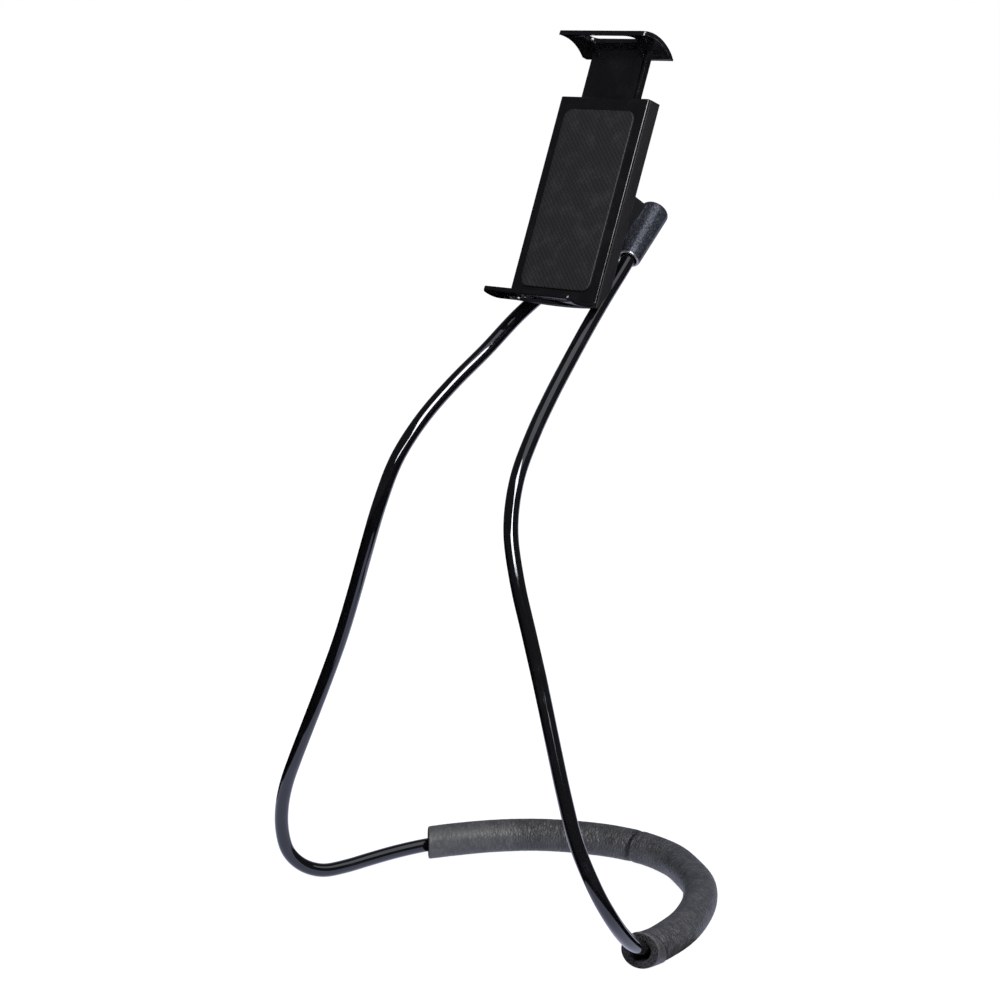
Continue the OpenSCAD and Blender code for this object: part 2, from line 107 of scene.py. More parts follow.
# %% Camera
CAMERA_AT = Vector((0.9161, -0.9360, 0.4534))
CAMERA_AIM = Vector((-0.02549, -0.00745, 0.20825))
LENS = 94.83

camera_data = bpy.data.cameras.new("camera")
camera_data.lens = LENS
camera_data.sensor_width = 36.0
camera = bpy.data.objects.new("camera", camera_data)
bpy.context.scene.collection.objects.link(camera)
camera.location = CAMERA_AT
camera.rotation_euler = (CAMERA_AIM - CAMERA_AT).to_track_quat("-Z", "Y").to_euler()
bpy.context.scene.camera = camera
bpy.context.scene.view_settings.view_transform = "Standard"

# %% [markdown]
# Shader maths reads best as arithmetic. A Signal wraps one output socket, and its operators add
# the Math nodes, so 0.2 + 0.1 * grain is a finished little node tree. Everything else comes from
# one method, Nodes.node, which takes a node's type, its settings and what its sockets get.

# %% Shader arithmetic
class Signal:
    """A value on its way through a shader. Plus, minus and times add Math nodes, on either side."""

    def __init__(self, nodes, socket):
        self.nodes, self.socket = nodes, socket

    def _math(self, operation, first, second):
        return self.nodes.node("Math", {"operation": operation}, {0: first, 1: second})

    def __add__(self, other):
        return self._math("ADD", self, other)

    __radd__ = __add__

    def __sub__(self, other):
        return self._math("SUBTRACT", self, other)

    def __rsub__(self, other):
        return self._math("SUBTRACT", other, self)

    def __mul__(self, other):
        return self._math("MULTIPLY", self, other)

    __rmul__ = __mul__


class Nodes:
    """A node tree that grows by one method."""

    def __init__(self, tree):
        self.tree = tree

    def node(self, kind, settings=None, sockets=None, output=0):
        """Adds a node: its settings first, then a value or a link for each socket it is given."""
        made = self.tree.nodes.new("ShaderNode" + kind)
        for setting, value in (settings or {}).items():
            setattr(made, setting, value)
        for socket, value in (sockets or {}).items():
            if isinstance(value, Signal):
                self.tree.links.new(value.socket, made.inputs[socket])
            else:
                made.inputs[socket].default_value = value
        return Signal(self, made.outputs[output])

    def vector(self, operation, *parts, output="Vector", **named):
        """A Vector Math node: the parts fill its sockets in order, and names fill the rest."""
        sockets = {**dict(enumerate(parts)), **named}
        return self.node("VectorMath", {"operation": operation}, sockets, output)


# %% [markdown]
# A finish is a material in the making. Its methods are the few tricks that all the materials
# share: noise and scattered cells measured in millimetres, a soft threshold, a blend of two
# colours by a mask, and a relief measured in millimetres too.

# %% What all finishes share
class Finish(Nodes):
    """A material in the making: its node tree, with a Principled shader at the end."""

    def __init__(self, name, **constants):
        self.material = bpy.data.materials.new(name)
        self.material.use_nodes = True
        super().__init__(self.material.node_tree)
        self.shader = next(n for n in self.tree.nodes if n.type == "BSDF_PRINCIPLED")
        for socket, value in constants.items():
            self.shader.inputs[socket.replace("_", " ")].default_value = value

    def place(self, stretch=(1.0, 1.0, 1.0)):
        """The piece's own place in metres, as Object coordinates, stretched where asked."""
        where = self.node("TexCoord", output="Object")
        return where if stretch == (1.0, 1.0, 1.0) else self.node(
            "Mapping", sockets={"Vector": where, "Scale": stretch})

    def noise(self, size_mm, detail=2.0, rough=0.5, where=None):
        """Soft noise whose blobs are about that many millimetres across, from 0 to 1."""
        return self.node("TexNoise", sockets={
            "Vector": where or self.place(), "Scale": 1.0 / (size_mm * MM),
            "Detail": detail, "Roughness": rough})

    def cells(self, size_mm, feature="F1", where=None):
        """Distance to the nearest of scattered points that lie about that far apart."""
        return self.node("TexVoronoi", {"feature": feature}, {
            "Vector": where or self.place(), "Scale": 1.0 / (size_mm * MM)}, "Distance")

    def between(self, value, low, high):
        """0 where the value is under low, 1 where it is over high, and smooth between them."""
        return self.node("MapRange", {"interpolation_type": "SMOOTHSTEP"}, {
            "Value": value, "From Min": low, "From Max": high})

    def shade(self, mask, dark, light):
        """One colour where the mask is 0 and the other where it is 1. Either may be a signal."""
        first, second = (c if isinstance(c, Signal) else (*c, 1.0) for c in (dark, light))
        return self.node("Mix", {"data_type": "RGBA"}, {"Factor": mask, 6: first, 7: second}, 2)

    def relief(self, height, depth_mm, onto=None):
        """Bump: the height, from 0 to 1, as that many millimetres of relief."""
        sockets = {"Height": height, "Distance": depth_mm * MM, "Strength": 1.0}
        if onto is not None:
            sockets["Normal"] = onto
        return self.node("Bump", sockets=sockets)

    def wear(self, **links):
        """Links what changes over the surface to the shader, and gives back the material."""
        for socket, signal in links.items():
            self.tree.links.new(signal.socket, self.shader.inputs[socket.replace("_", " ")])
        return self.material


# %% [markdown]
# Gloss black comes in two kinds. The jaws and the plate are moulded in a polished tool, so their
# skin has only a faint orange peel. The tube is extruded: its skin carries faint lines that run
# along it, read from a UV map whose first number is the distance along the tube.

# %% Black gloss, moulded and extruded
def moulded_gloss():
    """Polished black plastic: an orange peel, and smears that dull it a little."""
    finish = Finish("black_gloss", IOR=1.47, Coat_Roughness=0.04)
    peel = finish.noise(1.8, detail=1.0)
    smear = finish.between(finish.noise(14.0, detail=4.0, rough=0.6), 0.42, 0.72)
    return finish.wear(
        Base_Color=finish.shade(smear, (0.004, 0.004, 0.005), (0.007, 0.007, 0.008)),
        Roughness=0.13 + 0.10 * smear,
        Normal=finish.relief(peel, 0.012))


def extruded_gloss():
    """Black plastic tube: lines from the die along it, slow ripples, and rubbed patches."""
    finish = Finish("tube_gloss", IOR=1.5, Coat_Weight=0.5, Coat_IOR=1.5, Coat_Roughness=0.02,
                    Specular_Tint=(0.86, 0.89, 1.0, 1.0))
    along = finish.node("UVMap", {"uv_map": "sweep"})
    lines = finish.noise(1.0, detail=2.0, where=finish.node(
        "Mapping", sockets={"Vector": along, "Scale": (0.02, 1.0, 1.0)}))
    ripple = finish.noise(11.0, detail=1.0)
    rub = finish.between(finish.noise(16.0, detail=5.0, rough=0.7), 0.52, 0.74)
    return finish.wear(
        Base_Color=finish.shade(rub, (0.0025, 0.0025, 0.003), (0.006, 0.006, 0.008)),
        Roughness=0.035 + 0.02 * lines + 0.10 * rub,
        Normal=finish.relief(lines, 0.006, onto=finish.relief(ripple, 0.05)))


# %% [markdown]
# The housing is moulded in an etched tool, which leaves a fine grain that kills the gloss. The
# grain is a noise of about half a millimetre, which gives both a relief and a slight change of
# tone. Where hands hold the clamp it is rubbed smoother, which a slow noise stands for.

# %% Etched plastic, for the housing
def etched():
    """Grained plastic: its low index of refraction keeps it darker than the gloss beside it."""
    finish = Finish("housing_grey", IOR=1.38)
    grain = finish.noise(0.45, detail=3.0, rough=0.6)
    handled = finish.between(finish.noise(18.0, detail=3.0), 0.4, 0.7)
    return finish.wear(
        Base_Color=finish.shade(finish.between(grain, 0.3, 0.7),
                                (0.005, 0.005, 0.006), (0.013, 0.013, 0.015)),
        Roughness=0.50 + 0.12 * grain - 0.07 * handled,
        Normal=finish.relief(grain, 0.035))


# %% [markdown]
# The foam sleeve is closed-cell rubber foam with a thin skin. Seen close, the skin is covered
# with fine wrinkles that net together like those of leather, and where the sleeve was cut the
# open cells show as dark pores. Three attributes that are painted on the mesh further down say
# where the cut is, where painted shade darkens the creases, the hem and the bore, and where the
# skin is drawn taut, which makes it smoother and paler with a painted sheen.

# %% Foam with its skin, its creases and its cut ends
def foam_skin():
    """Skin that nets into leather by two patterns along wandering lines, and pores at a cut."""
    finish = Finish("foam_grey", IOR=1.46)
    cut, painted_shade, taut_and_sheen = (finish.node("Attribute", {"attribute_name": name}, output="Fac")
                        for name in ("cut", "crease", "taut_and_sheen"))
    along = finish.node("UVMap", {"uv_map": "sweep"})
    across = finish.node("Mapping", sockets={"Vector": along, "Scale": (1.0, 0.4, 1.0)})
    drift = finish.noise(3.0, detail=2.0, where=across)
    aside = finish.vector("SCALE", finish.node("CombineXYZ", sockets={0: drift, 1: drift}),
                          Scale=1.3 * MM)
    wandering = finish.vector("ADD", across, aside)
    drawn = finish.noise(1.1, detail=4.0, rough=0.6, where=wandering)
    edges = finish.cells(1.6, feature="DISTANCE_TO_EDGE", where=wandering)
    leather = 0.55 * finish.between(edges, 0.0, 0.25) + 0.45 * drawn
    mottle = finish.between(finish.noise(8.0, detail=5.0, rough=0.7), 0.3, 0.72)
    pore = finish.between(finish.cells(1.1), 0.22, 0.55)
    # Painted sheen: where taut is high, on the fold's ridge, the spread end, the left end and the
    # stretched side of bends, the skin is paler.
    skin = finish.shade(0.45 * mottle + 0.55 * leather + 0.45 * taut_and_sheen,
                        (0.012, 0.012, 0.014), (0.074, 0.075, 0.080))
    open_cells = finish.shade(pore, (0.0006, 0.0006, 0.001), (0.016, 0.016, 0.018))
    height = leather * (1.0 - cut) * (1.0 - 0.85 * taut_and_sheen) + 2.0 * pore * cut
    return finish.wear(
        # Painted shade: the crease attribute darkens the crease, the squeezed wrinkles, the hem and
        # the bore almost to black.
        Base_Color=finish.shade(painted_shade, finish.shade(cut, skin, open_cells), (0.004, 0.004, 0.005)),
        Roughness=0.38 + 0.18 * drawn + 0.3 * cut,
        Normal=finish.relief(height, 0.55))


# %% [markdown]
# The pad behind the phone is rubber with a fine diamond knurl that keeps the phone from
# slipping. Its pattern is two sets of bands, turned 45 degrees each way. The metal is all
# small: drawn wire, zinc-plated bolts, blackened screws and a brass crimp. Each has faint marks
# of how it was made. The washers are natural nylon, a little milky.

# %% Rubber, metals and nylon
def rubber():
    """Black rubber, knurled by two sets of bands 2 mm apart, with dust in patches."""
    finish = Finish("pad_black", IOR=1.45)
    flat = finish.node("UVMap", {"uv_map": "flat"})
    knurl = 0.0
    for angle in (45, -45):
        turned = finish.node("Mapping", sockets={
            "Vector": flat, "Rotation": (0.0, 0.0, math.radians(angle))})
        knurl = knurl + 0.5 * finish.node("TexWave", {"wave_type": "BANDS"}, {
            "Vector": turned, "Scale": 0.31 / (2.0 * MM), "Distortion": 0.0}, "Fac")
    grain = finish.noise(0.6, detail=2.0)
    dust = finish.between(finish.noise(9.0, detail=5.0, rough=0.7), 0.45, 0.75)
    return finish.wear(
        Base_Color=finish.shade(dust, (0.011, 0.011, 0.012), (0.018, 0.018, 0.020)),
        Roughness=0.50 + 0.2 * grain + 0.1 * dust,
        Normal=finish.relief(0.8 * knurl + 0.2 * grain, 0.22))


def metal(name, dull, bright, roughness):
    """Metal with fine marks across it from cutting or drawing, and stains that dull it."""
    finish = Finish(name)
    marks = finish.noise(1.2, detail=3.0, where=finish.place(stretch=(40.0, 1.0, 1.0)))
    stain = finish.between(finish.noise(2.5, detail=3.0), 0.35, 0.7)
    return finish.wear(
        Base_Color=finish.shade(marks, dull, bright), Metallic=1.0 - 0.06 * stain,
        Roughness=roughness + 0.12 * marks + 0.1 * stain, Normal=finish.relief(marks, 0.01))


def nylon():
    """Natural nylon: milky, with faint flow marks."""
    finish = Finish("nylon_white", IOR=1.53, Subsurface_Weight=0.25, Subsurface_Scale=0.002)
    flow = finish.noise(2.0, detail=3.0)
    return finish.wear(
        Base_Color=finish.shade(flow, (0.66, 0.63, 0.55), (0.78, 0.76, 0.69)),
        Roughness=0.38 + 0.15 * flow, Normal=finish.relief(flow, 0.02))


# %% [markdown]
# The sockets are two barrels on a black yoke. In the photograph the barrel shines blue-grey with
# light specks, as a lacquer with metal flakes does, the rim of its mouth is pale with a painted
# highlight, and the web beside it stays black. Yoke and barrels are one moulded piece, so the
# finish asks how far a point is from a barrel's axis. The absolute value of the place folds the
# left barrel onto the right one.

# %% Lacquer on the sockets' barrels
BARREL_R = 7.4
MOUTH_AT = (0.0175, 0.0408, 0.3309)
BARREL_AXIS = (-0.1392, 0.7359, 0.6626)


def lacquer():
    """Black plastic, lacquered where the distance from a barrel's axis is its radius or less, with
    a painted highlight on the mouth's rim.
    """
    finish = Finish("socket_grey", IOR=1.5)
    from_mouth = finish.vector("SUBTRACT", finish.vector("ABSOLUTE", finish.place()), MOUTH_AT)
    along = finish.vector("DOT_PRODUCT", from_mouth, BARREL_AXIS, output="Value")
    foot = finish.vector("SCALE", BARREL_AXIS, Scale=along)
    beside = finish.vector("DISTANCE", from_mouth, foot, output="Value")
    barrel = 1.0 - finish.between(beside, (BARREL_R + 0.1) * MM, (BARREL_R + 0.4) * MM)
    # Painted highlight: a pale ring on the rim of each barrel's mouth.
    rim_highlight = barrel * (1.0 - finish.between(along, 0.2 * MM, 0.7 * MM))
    grain = finish.noise(0.9, detail=3.0, rough=0.6)
    speck = finish.between(finish.noise(0.6, detail=3.0), 0.42, 0.66)
    flakes = finish.shade(speck, (0.030, 0.033, 0.044), (0.15, 0.16, 0.20))
    flakes_and_rim_highlight = finish.shade(rim_highlight, flakes, (0.3, 0.31, 0.33))
    return finish.wear(
        Base_Color=finish.shade(barrel, (0.004, 0.004, 0.005), flakes_and_rim_highlight),
        Metallic=0.75 * barrel, Roughness=0.50 - 0.22 * barrel + 0.04 * speck,
        Normal=finish.relief(grain, 0.05))


# %% [markdown]
# The record names a material slot for every piece. Each slot gets its finish here, and each piece
# of the frame puts on the finish of its slot, so even what is hidden inside looks right.

# %% A finish for every slot
finishes = {
    "black_gloss": moulded_gloss(),
    "tube_gloss": extruded_gloss(),
    "housing_grey": etched(),
    "socket_grey": lacquer(),
    "foam_grey": foam_skin(),
    "pad_black": rubber(),
    "wire_steel": metal("wire_steel", (0.42, 0.43, 0.45), (0.62, 0.63, 0.65), 0.24),
    "bolt_steel": metal("bolt_steel", (0.46, 0.46, 0.47), (0.66, 0.66, 0.68), 0.26),
    "screw_black": metal("screw_black", (0.02, 0.02, 0.022), (0.05, 0.05, 0.055), 0.34),
    "spring_steel": metal("spring_steel", (0.5, 0.5, 0.52), (0.7, 0.7, 0.72), 0.2),
    "nylon_white": nylon(),
    "ferrule_brass": metal("ferrule_brass", (0.52, 0.37, 0.16), (0.72, 0.55, 0.28), 0.28),
}
slot_of = {part["node"]: part["material_slot"] for part in frame["record"]["subparts"]}
for node_name, node in frame["nodes"].items():
    node.data.materials.clear()
    node.data.materials.append(finishes[slot_of[node_name]])
print("finishes:", len(finishes))

# %% [markdown]
# Every new piece is a grid of points, worked out as one array: its rows run along the piece and
# its columns round it. These helpers turn such a grid into a mesh, and give each of its points
# what a material reads. A grid may be closed round its columns, as a tube is, and closed along
# its rows too, as the foam is, which runs out along its skin and back through its bore.

# %% From a grid of points to a mesh
def grid_faces(rows, columns, round_columns=False, round_rows=False):
    """The four-sided faces of a grid, row by row, with the last column or row meeting the first."""
    row = np.arange(rows if round_rows else rows - 1)[:, None]
    column = np.arange(columns if round_columns else columns - 1)[None, :]
    next_row, next_column = (row + 1) % rows, (column + 1) % columns
    corners = [row * columns + column, row * columns + next_column,
               next_row * columns + next_column, next_row * columns + column]
    return np.stack(corners, -1).reshape(-1, 4)


def new_piece(name, points, faces, finish, body):
    """Links a mesh of these points and faces, smooth, with its finish, riding on its body."""
    mesh = bpy.data.meshes.new(name)
    mesh.from_pydata(points.reshape(-1, 3).tolist(), [], faces.tolist())
    mesh.polygons.foreach_set("use_smooth", np.ones(len(faces), bool))
    mesh.materials.append(finishes[finish])
    mesh.update()
    piece = bpy.data.objects.new(name, mesh)
    bpy.context.scene.collection.objects.link(piece)
    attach(piece, body)
    return piece


def add_uv(piece, name, u, v):
    """Writes a UV map from one u and one v for each vertex."""
    mesh = piece.data
    corner = np.empty(len(mesh.loops), np.int32)
    mesh.loops.foreach_get("vertex_index", corner)
    layer = mesh.uv_layers.new(name=name)
    layer.data.foreach_set("uv", np.stack([u.ravel()[corner], v.ravel()[corner]], -1).ravel())


def paint(piece, name, values):
    """Stores one number for each vertex, for a material to read by that name."""
    attribute = piece.data.attributes.new(name, "FLOAT", "POINT")
    attribute.data.foreach_set("value", values.astype(np.float32).ravel())


# %% [markdown]
# The wire was bent by hand, so no formula gives its route. It is a list of points from the left
# socket, down the left arm, round the base and up the right arm. A smooth curve goes through all
# of them, and a little averaging takes out the last unevenness, as stiff wire would. The two
# arms mirror each other down to the last bend, and there they part.

# %% The route of the wire
ORIGIN_Y = 18.4
HINGE = np.array([0.0, 20.3, 350.5])
SOCKET_LEAN, SOCKET_SPLAY, YOKE_LEAN = 27.0, 8.0, 21.0
SOCKET_MOUTH = np.array([17.5, 9.0, -17.5])
BORE_DEPTH = 24.0
ARM = [(20.4, 4.4, 315.4), (25, -13.2, 302), (29.2, -32, 285.6), (34.2, -50.4, 270),
       (38.8, -67.6, 253), (42.4, -81.6, 234), (46.4, -89.6, 212), (53.4, -92.4, 188.6),
       (62.4, -93.2, 164), (72, -94.4, 139), (82, -96.8, 114.6), (92.6, -99.4, 90),
       (101.4, -100.8, 71)]
LEFT_BEND = [(-108.5, -101, 56), (-113, -100.6, 42), (-115, -99, 28.5), (-114.4, -95.4, 16),
             (-111.3, -88.2, 7.8), (-107, -80, 4.1)]
BASE = [(-103.6, -66, 3.7), (-101, -52, 4.8), (-97, -36, 6.4), (-90.4, -16.4, 7.8),
        (-84, -1, 8.2), (-74, 17, 8.4), (-60, 34, 8.6), (-41, 48, 8.6), (-20, 57, 8.6),
        (1, 59.5, 8.6), (22, 56, 8.6), (42, 46, 8.8), (60, 34, 9), (75, 18, 9.2),
        (87, 0, 9.4), (96, -18, 9.6), (101.4, -35, 9.8), (104, -48, 10.2), (106.4, -60, 11.2)]
RIGHT_BEND = [(110.4, -71, 17), (113.4, -81.6, 25.4), (115, -91.6, 36.6),
              (113, -97.2, 46.8), (109, -100, 57)]


def leaned(vectors, degrees):
    """Turns vectors back about the X axis by that angle."""
    x, y, z = np.moveaxis(np.asarray(vectors, float), -1, 0)
    c, s = math.cos(math.radians(degrees)), math.sin(math.radians(degrees))
    return np.stack([x, y * c + z * s, z * c - y * s], -1)


def on_socket(points, side=1):
    """Points given round a socket's axis, with Z up from its mouth, in the object's frame, mm."""
    x, y, z = np.moveaxis(np.asarray(points, float), -1, 0)
    c, s = math.cos(math.radians(SOCKET_SPLAY)), math.sin(math.radians(SOCKET_SPLAY))
    splayed = np.stack([x * c - z * s, y, x * s + z * c], -1)
    placed = HINGE + leaned(SOCKET_MOUTH + leaned(splayed, SOCKET_LEAN), YOKE_LEAN)
    return placed * [side, 1, 1] + [0, ORIGIN_Y, 0]


def smooth(points, steps):
    """A cubic through each two points, whose slope at a point weighs both chords by nearness."""
    p = np.asarray(points, float)
    chord = np.diff(p, axis=0)
    long = np.linalg.norm(chord, axis=1, keepdims=True)
    before, after = long[:-1], long[1:]
    inner = (chord[:-1] * after / before + chord[1:] * before / after) / (before + after)
    slope = np.concatenate([chord[:1] / long[:1], inner, chord[-1:] / long[-1:]])
    t = (np.arange(steps) / steps)[None, :, None]
    h = long[:, None]
    curve = ((2 * t**3 - 3 * t**2 + 1) * p[:-1, None] + (t**3 - 2 * t**2 + t) * h * slope[:-1, None]
             + (3 * t**2 - 2 * t**3) * p[1:, None] + (t**3 - t**2) * h * slope[1:, None])
    return np.concatenate([curve.reshape(-1, 3), p[-1:]])


def even(points, step, passes=0):
    """The same curve with its points one step apart, averaged with their neighbours a few times."""
    far = np.r_[0, np.cumsum(np.linalg.norm(np.diff(points, axis=0), axis=1))]
    at = np.linspace(0, far[-1], int(round(far[-1] / step)) + 1)
    line = np.stack([np.interp(at, far, points[:, k]) for k in range(3)], -1)
    for _ in range(passes):
        line[1:-1] = 0.25 * line[:-2] + 0.5 * line[1:-1] + 0.25 * line[2:]
    return line


right_socket = on_socket([(0, 0, depth) for depth in (-3.0, BORE_DEPTH / 2 - 3, BORE_DEPTH - 6)])
left_socket = right_socket * [-1, 1, 1]
shift = np.array([0, ORIGIN_Y, 0])
arm = np.array(ARM) + shift
left_bend, base, right_bend = (np.array(part) + shift for part in (LEFT_BEND, BASE, RIGHT_BEND))
route = np.concatenate([left_socket[::-1], arm * [-1, 1, 1], left_bend, base, right_bend,
                        arm[::-1], right_socket])
print("wire:", len(route), "points")

# %% [markdown]
# A tube is a circle carried along the route. The circle has to turn with the route and not spin
# about it, or the lines on its skin would twist. So each ring takes the ring before it and only
# levels it against the new direction. The tube and the foam both grow out of these directions.

# %% A circle carried along a path
def carried(line):
    """Direction at each point of the line, and two normals levelled from ring to ring."""
    ahead = np.gradient(line, axis=0)
    ahead /= np.linalg.norm(ahead, axis=1, keepdims=True)
    side = np.empty_like(ahead)
    last = np.array([1.0, 0.2, 0.1])
    for ring, d in enumerate(ahead):
        last = last - (last @ d) * d
        last /= np.linalg.norm(last)
        side[ring] = last
    return ahead, side, np.cross(ahead, side)


def all_round(side, other, columns):
    """Outward directions in rows and columns: cosine times side plus sine times other."""
    turn = np.linspace(0, 2 * np.pi, columns, endpoint=False)[None, :, None]
    return np.cos(turn) * side[:, None] + np.sin(turn) * other[:, None]


# %% [markdown]
# The tube is extruded plastic, 7.2 mm across over a 4.6 mm bore, and the wire inside holds it
# round through every bend. The UV map holds the distance along the tube, and round it to its far
# side and back, so the extrusion lines keep their scale and meet without a seam.

# %% The glossy tube
TUBE_R, TUBE_WALL = 3.6, 1.3
TUBE_STEP, TUBE_COLUMNS = 1.6, 40
tube_line = even(smooth(route, 24), TUBE_STEP, passes=6)
_, side, other = carried(tube_line)
tube = tube_line[:, None] + TUBE_R * all_round(side, other, TUBE_COLUMNS)
rows = len(tube_line)
loop_tube = new_piece("neck_tube", tube * MM, grid_faces(rows, TUBE_COLUMNS, round_columns=True),
                      "tube_gloss", "loop")
along_tube = np.arange(rows)[:, None] * TUBE_STEP * MM
round_tube = np.abs(np.linspace(-1, 1, TUBE_COLUMNS)) * TUBE_R * np.pi * MM
add_uv(loop_tube, "sweep", *np.broadcast_arrays(along_tube, round_tube))
wall = loop_tube.modifiers.new("wall", "SOLIDIFY")
wall.thickness, wall.offset = TUBE_WALL * MM, -1.0
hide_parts("loop_tube")
print("neck tube:", rows, "rings,", round(TUBE_STEP * (rows - 1)), "mm long")

# %% [markdown]
# The foam sleeve is a tube of soft foam, cut to length and pulled over the wire along the base.
# It lies on the floor with its own radius under its middle, and only its right end is lifted a
# little, where the wire rises out of it. Its path is the wire's own, brought to that height.

# %% Where the sleeve lies
FOAM_R, FOAM_BORE, FOAM_LIFT = 8.9, 5.2, 1.0
FOAM_STEP, FOAM_COLUMNS = 0.7, 132
foam_path = base[3:].copy()
foam_path[:, 2] = FOAM_R
foam_path[-1] += [-0.8, -0.8, FOAM_LIFT]
foam_line = even(smooth(foam_path, 24), FOAM_STEP, passes=8)
ahead, side, other = carried(foam_line)
count = len(foam_line)
rings = np.arange(count)
from_left = rings[:, None] * FOAM_STEP
from_right = (count - 1 - rings[:, None]) * FOAM_STEP
outward = all_round(side, other, FOAM_COLUMNS)
print("foam:", count, "rings over", round((count - 1) * FOAM_STEP), "mm")

# %% [markdown]
# Where the sleeve bends, its inner side is squeezed and gathers in wrinkles, and the outer side is
# stretched smooth. The strain is the turn of the line in each millimetre, times how far a point
# lies towards the inside. The wrinkles' own pattern is random numbers, blurred until they are as
# long and as wide as wrinkles. A ridge then stands wherever they pass zero, so they form lines.

# %% Wrinkles
def blurred(long_mm, wide_mm, seed):
    """Random numbers on the sleeve's grid, blurred by a Gaussian that far along and round it."""
    noise = np.random.default_rng(seed).normal(size=(count, FOAM_COLUMNS))
    round_step = 2 * np.pi * FOAM_R / FOAM_COLUMNS
    reach = np.hypot(np.fft.fftfreq(count)[:, None] * long_mm / FOAM_STEP,
                     np.fft.fftfreq(FOAM_COLUMNS)[None, :] * wide_mm / round_step)
    field = np.fft.ifft2(np.fft.fft2(noise) * np.exp(-0.5 * (2 * np.pi * reach) ** 2)).real
    return field / field.std()


def ridge(distance, width):
    """A ridge by a Gaussian: 1 where the distance is 0, about a third where it is the width."""
    return np.exp(-(distance / width) ** 2)


bend_of_line = np.gradient(ahead, axis=0) / FOAM_STEP
strain = np.einsum("rk,rck->rc", bend_of_line, outward) * FOAM_R
squeeze = np.clip(4.0 * strain, 0, 1)
folds = ridge(blurred(1.3, 4.5, 3), 0.35) * (0.35 + 0.65 * squeeze)
lumps = blurred(9.0, 7.0, 5)
print("squeezed most by", round(100 * float(strain.max())), "percent")

# %% [markdown]
# One crease stands out on the real sleeve. It lies across the side that rests on the nape, where
# the foam was once bent too far. It is a narrow groove between two low swellings, it leans a
# little, it wavers with the wrinkles it crosses, and it fades away round the back. The right end,
# where the wire turns up and pushes against the bore, is spread wider over its last centimetre,
# behind a slanting fold with a hem. Painted shade darkens the groove and the hem, and a painted
# sheen pales the fold's ridge. The left end is drawn smooth and pale with a painted sheen.

# %% One crease, and the spread end
CREASE_AT = np.array([-7.2, 58.8, 9.0]) + shift
CREASE_LEAN, CREASE_WIDE, CREASE_DEEP = 1.6, 1.4, 0.95
SWELLING_AT, SWELLING_WIDE, SWELLING_HIGH = 3.2, 2.0, 0.22
NAPE_SIDE = np.array([0.62, -0.72, 0.32])
FOLD_AT, FOLD_SLANT, FOLD_WIDE, FOLD_HIGH = 7.5, 6.0, 0.8, 0.50
HEM_AT, HEM_WIDE, HEM_DEEP = 1.8, 0.8, 0.30
SPREAD_WITHIN, SPREAD_HIGH = 0.9, 0.40
SMOOTH_WITHIN = 55.0
SKIN_INSET, WRINKLE_DEEP, LUMP_HIGH = 0.10, 0.16, 0.05
crease_ring = int(np.argmin(np.linalg.norm(foam_line - CREASE_AT, axis=1)))
from_crease = (rings[:, None] - crease_ring) * FOAM_STEP - CREASE_LEAN * outward[..., 2]
from_crease += 0.6 * lumps + 0.9 * folds
on_nape = np.clip(0.35 + 0.9 * outward @ NAPE_SIDE, 0, 1)
groove = ridge(from_crease, CREASE_WIDE) * on_nape
swelling = ridge(np.abs(from_crease) - SWELLING_AT, SWELLING_WIDE) * on_nape

fold_line = from_right - FOLD_AT + FOLD_SLANT * outward[..., 2]
spread = 1 / (1 + np.exp(fold_line / SPREAD_WITHIN))
fold = ridge(fold_line, FOLD_WIDE) * on_nape
hem = ridge(fold_line - HEM_AT, HEM_WIDE) * on_nape
# Painted sheen: the left end is paler as well as smoother.
smooth_sheen_start = 0.85 * np.clip(1.25 - from_left / SMOOTH_WITHIN + 0.12 * lumps, 0, 1)

skin_radius = (FOAM_R - SKIN_INSET - WRINKLE_DEEP * folds + LUMP_HIGH * lumps
               - CREASE_DEEP * groove + SWELLING_HIGH * swelling
               + SPREAD_HIGH * spread + FOLD_HIGH * fold - HEM_DEEP * hem)
print("crease:", round(CREASE_DEEP * float(groove.max()), 2), "mm deep, at ring", crease_ring)

# %% [markdown]
# Now the grid is put together. Its rows run out along the skin, in across the right end, back
# through the bore and out across the left end, so the sleeve is one closed surface. Both cuts are
# a little askew, which is a shift along the wire that grows towards the side. Their faces bulge
# slightly, as foam does beside a knife cut, and no point goes under the floor. The attribute cut
# is 1 on the faces and in the bore.

# %% The foam sleeve
CUT_ROWS, BORE_ROWS = 9, 90
CUT_ASKEW, ASKEW_WITHIN, CUT_BULGE = 0.34, 12.0, 0.3
CUT_ROUNDED, ROUNDED_WITHIN = 0.3, 0.5
OVER_FLOOR = 0.12
across_cut = np.linspace(0, 1, CUT_ROWS + 2)[1:-1]
bore_rings = np.unique(np.linspace(0, count - 1, BORE_ROWS).astype(int))
ring_at = np.concatenate([rings, np.full(CUT_ROWS, count - 1),
                          bore_rings[::-1], np.zeros(CUT_ROWS, int)])
from_end = np.minimum(from_left, from_right)
skin_radius = skin_radius - CUT_ROUNDED * ridge(from_end, ROUNDED_WITHIN)
radius_at = np.concatenate([
    skin_radius,
    skin_radius[-1] + (FOAM_BORE - skin_radius[-1]) * across_cut[:, None],
    np.full((len(bore_rings), FOAM_COLUMNS), FOAM_BORE),
    FOAM_BORE + (skin_radius[0] - FOAM_BORE) * across_cut[:, None]])

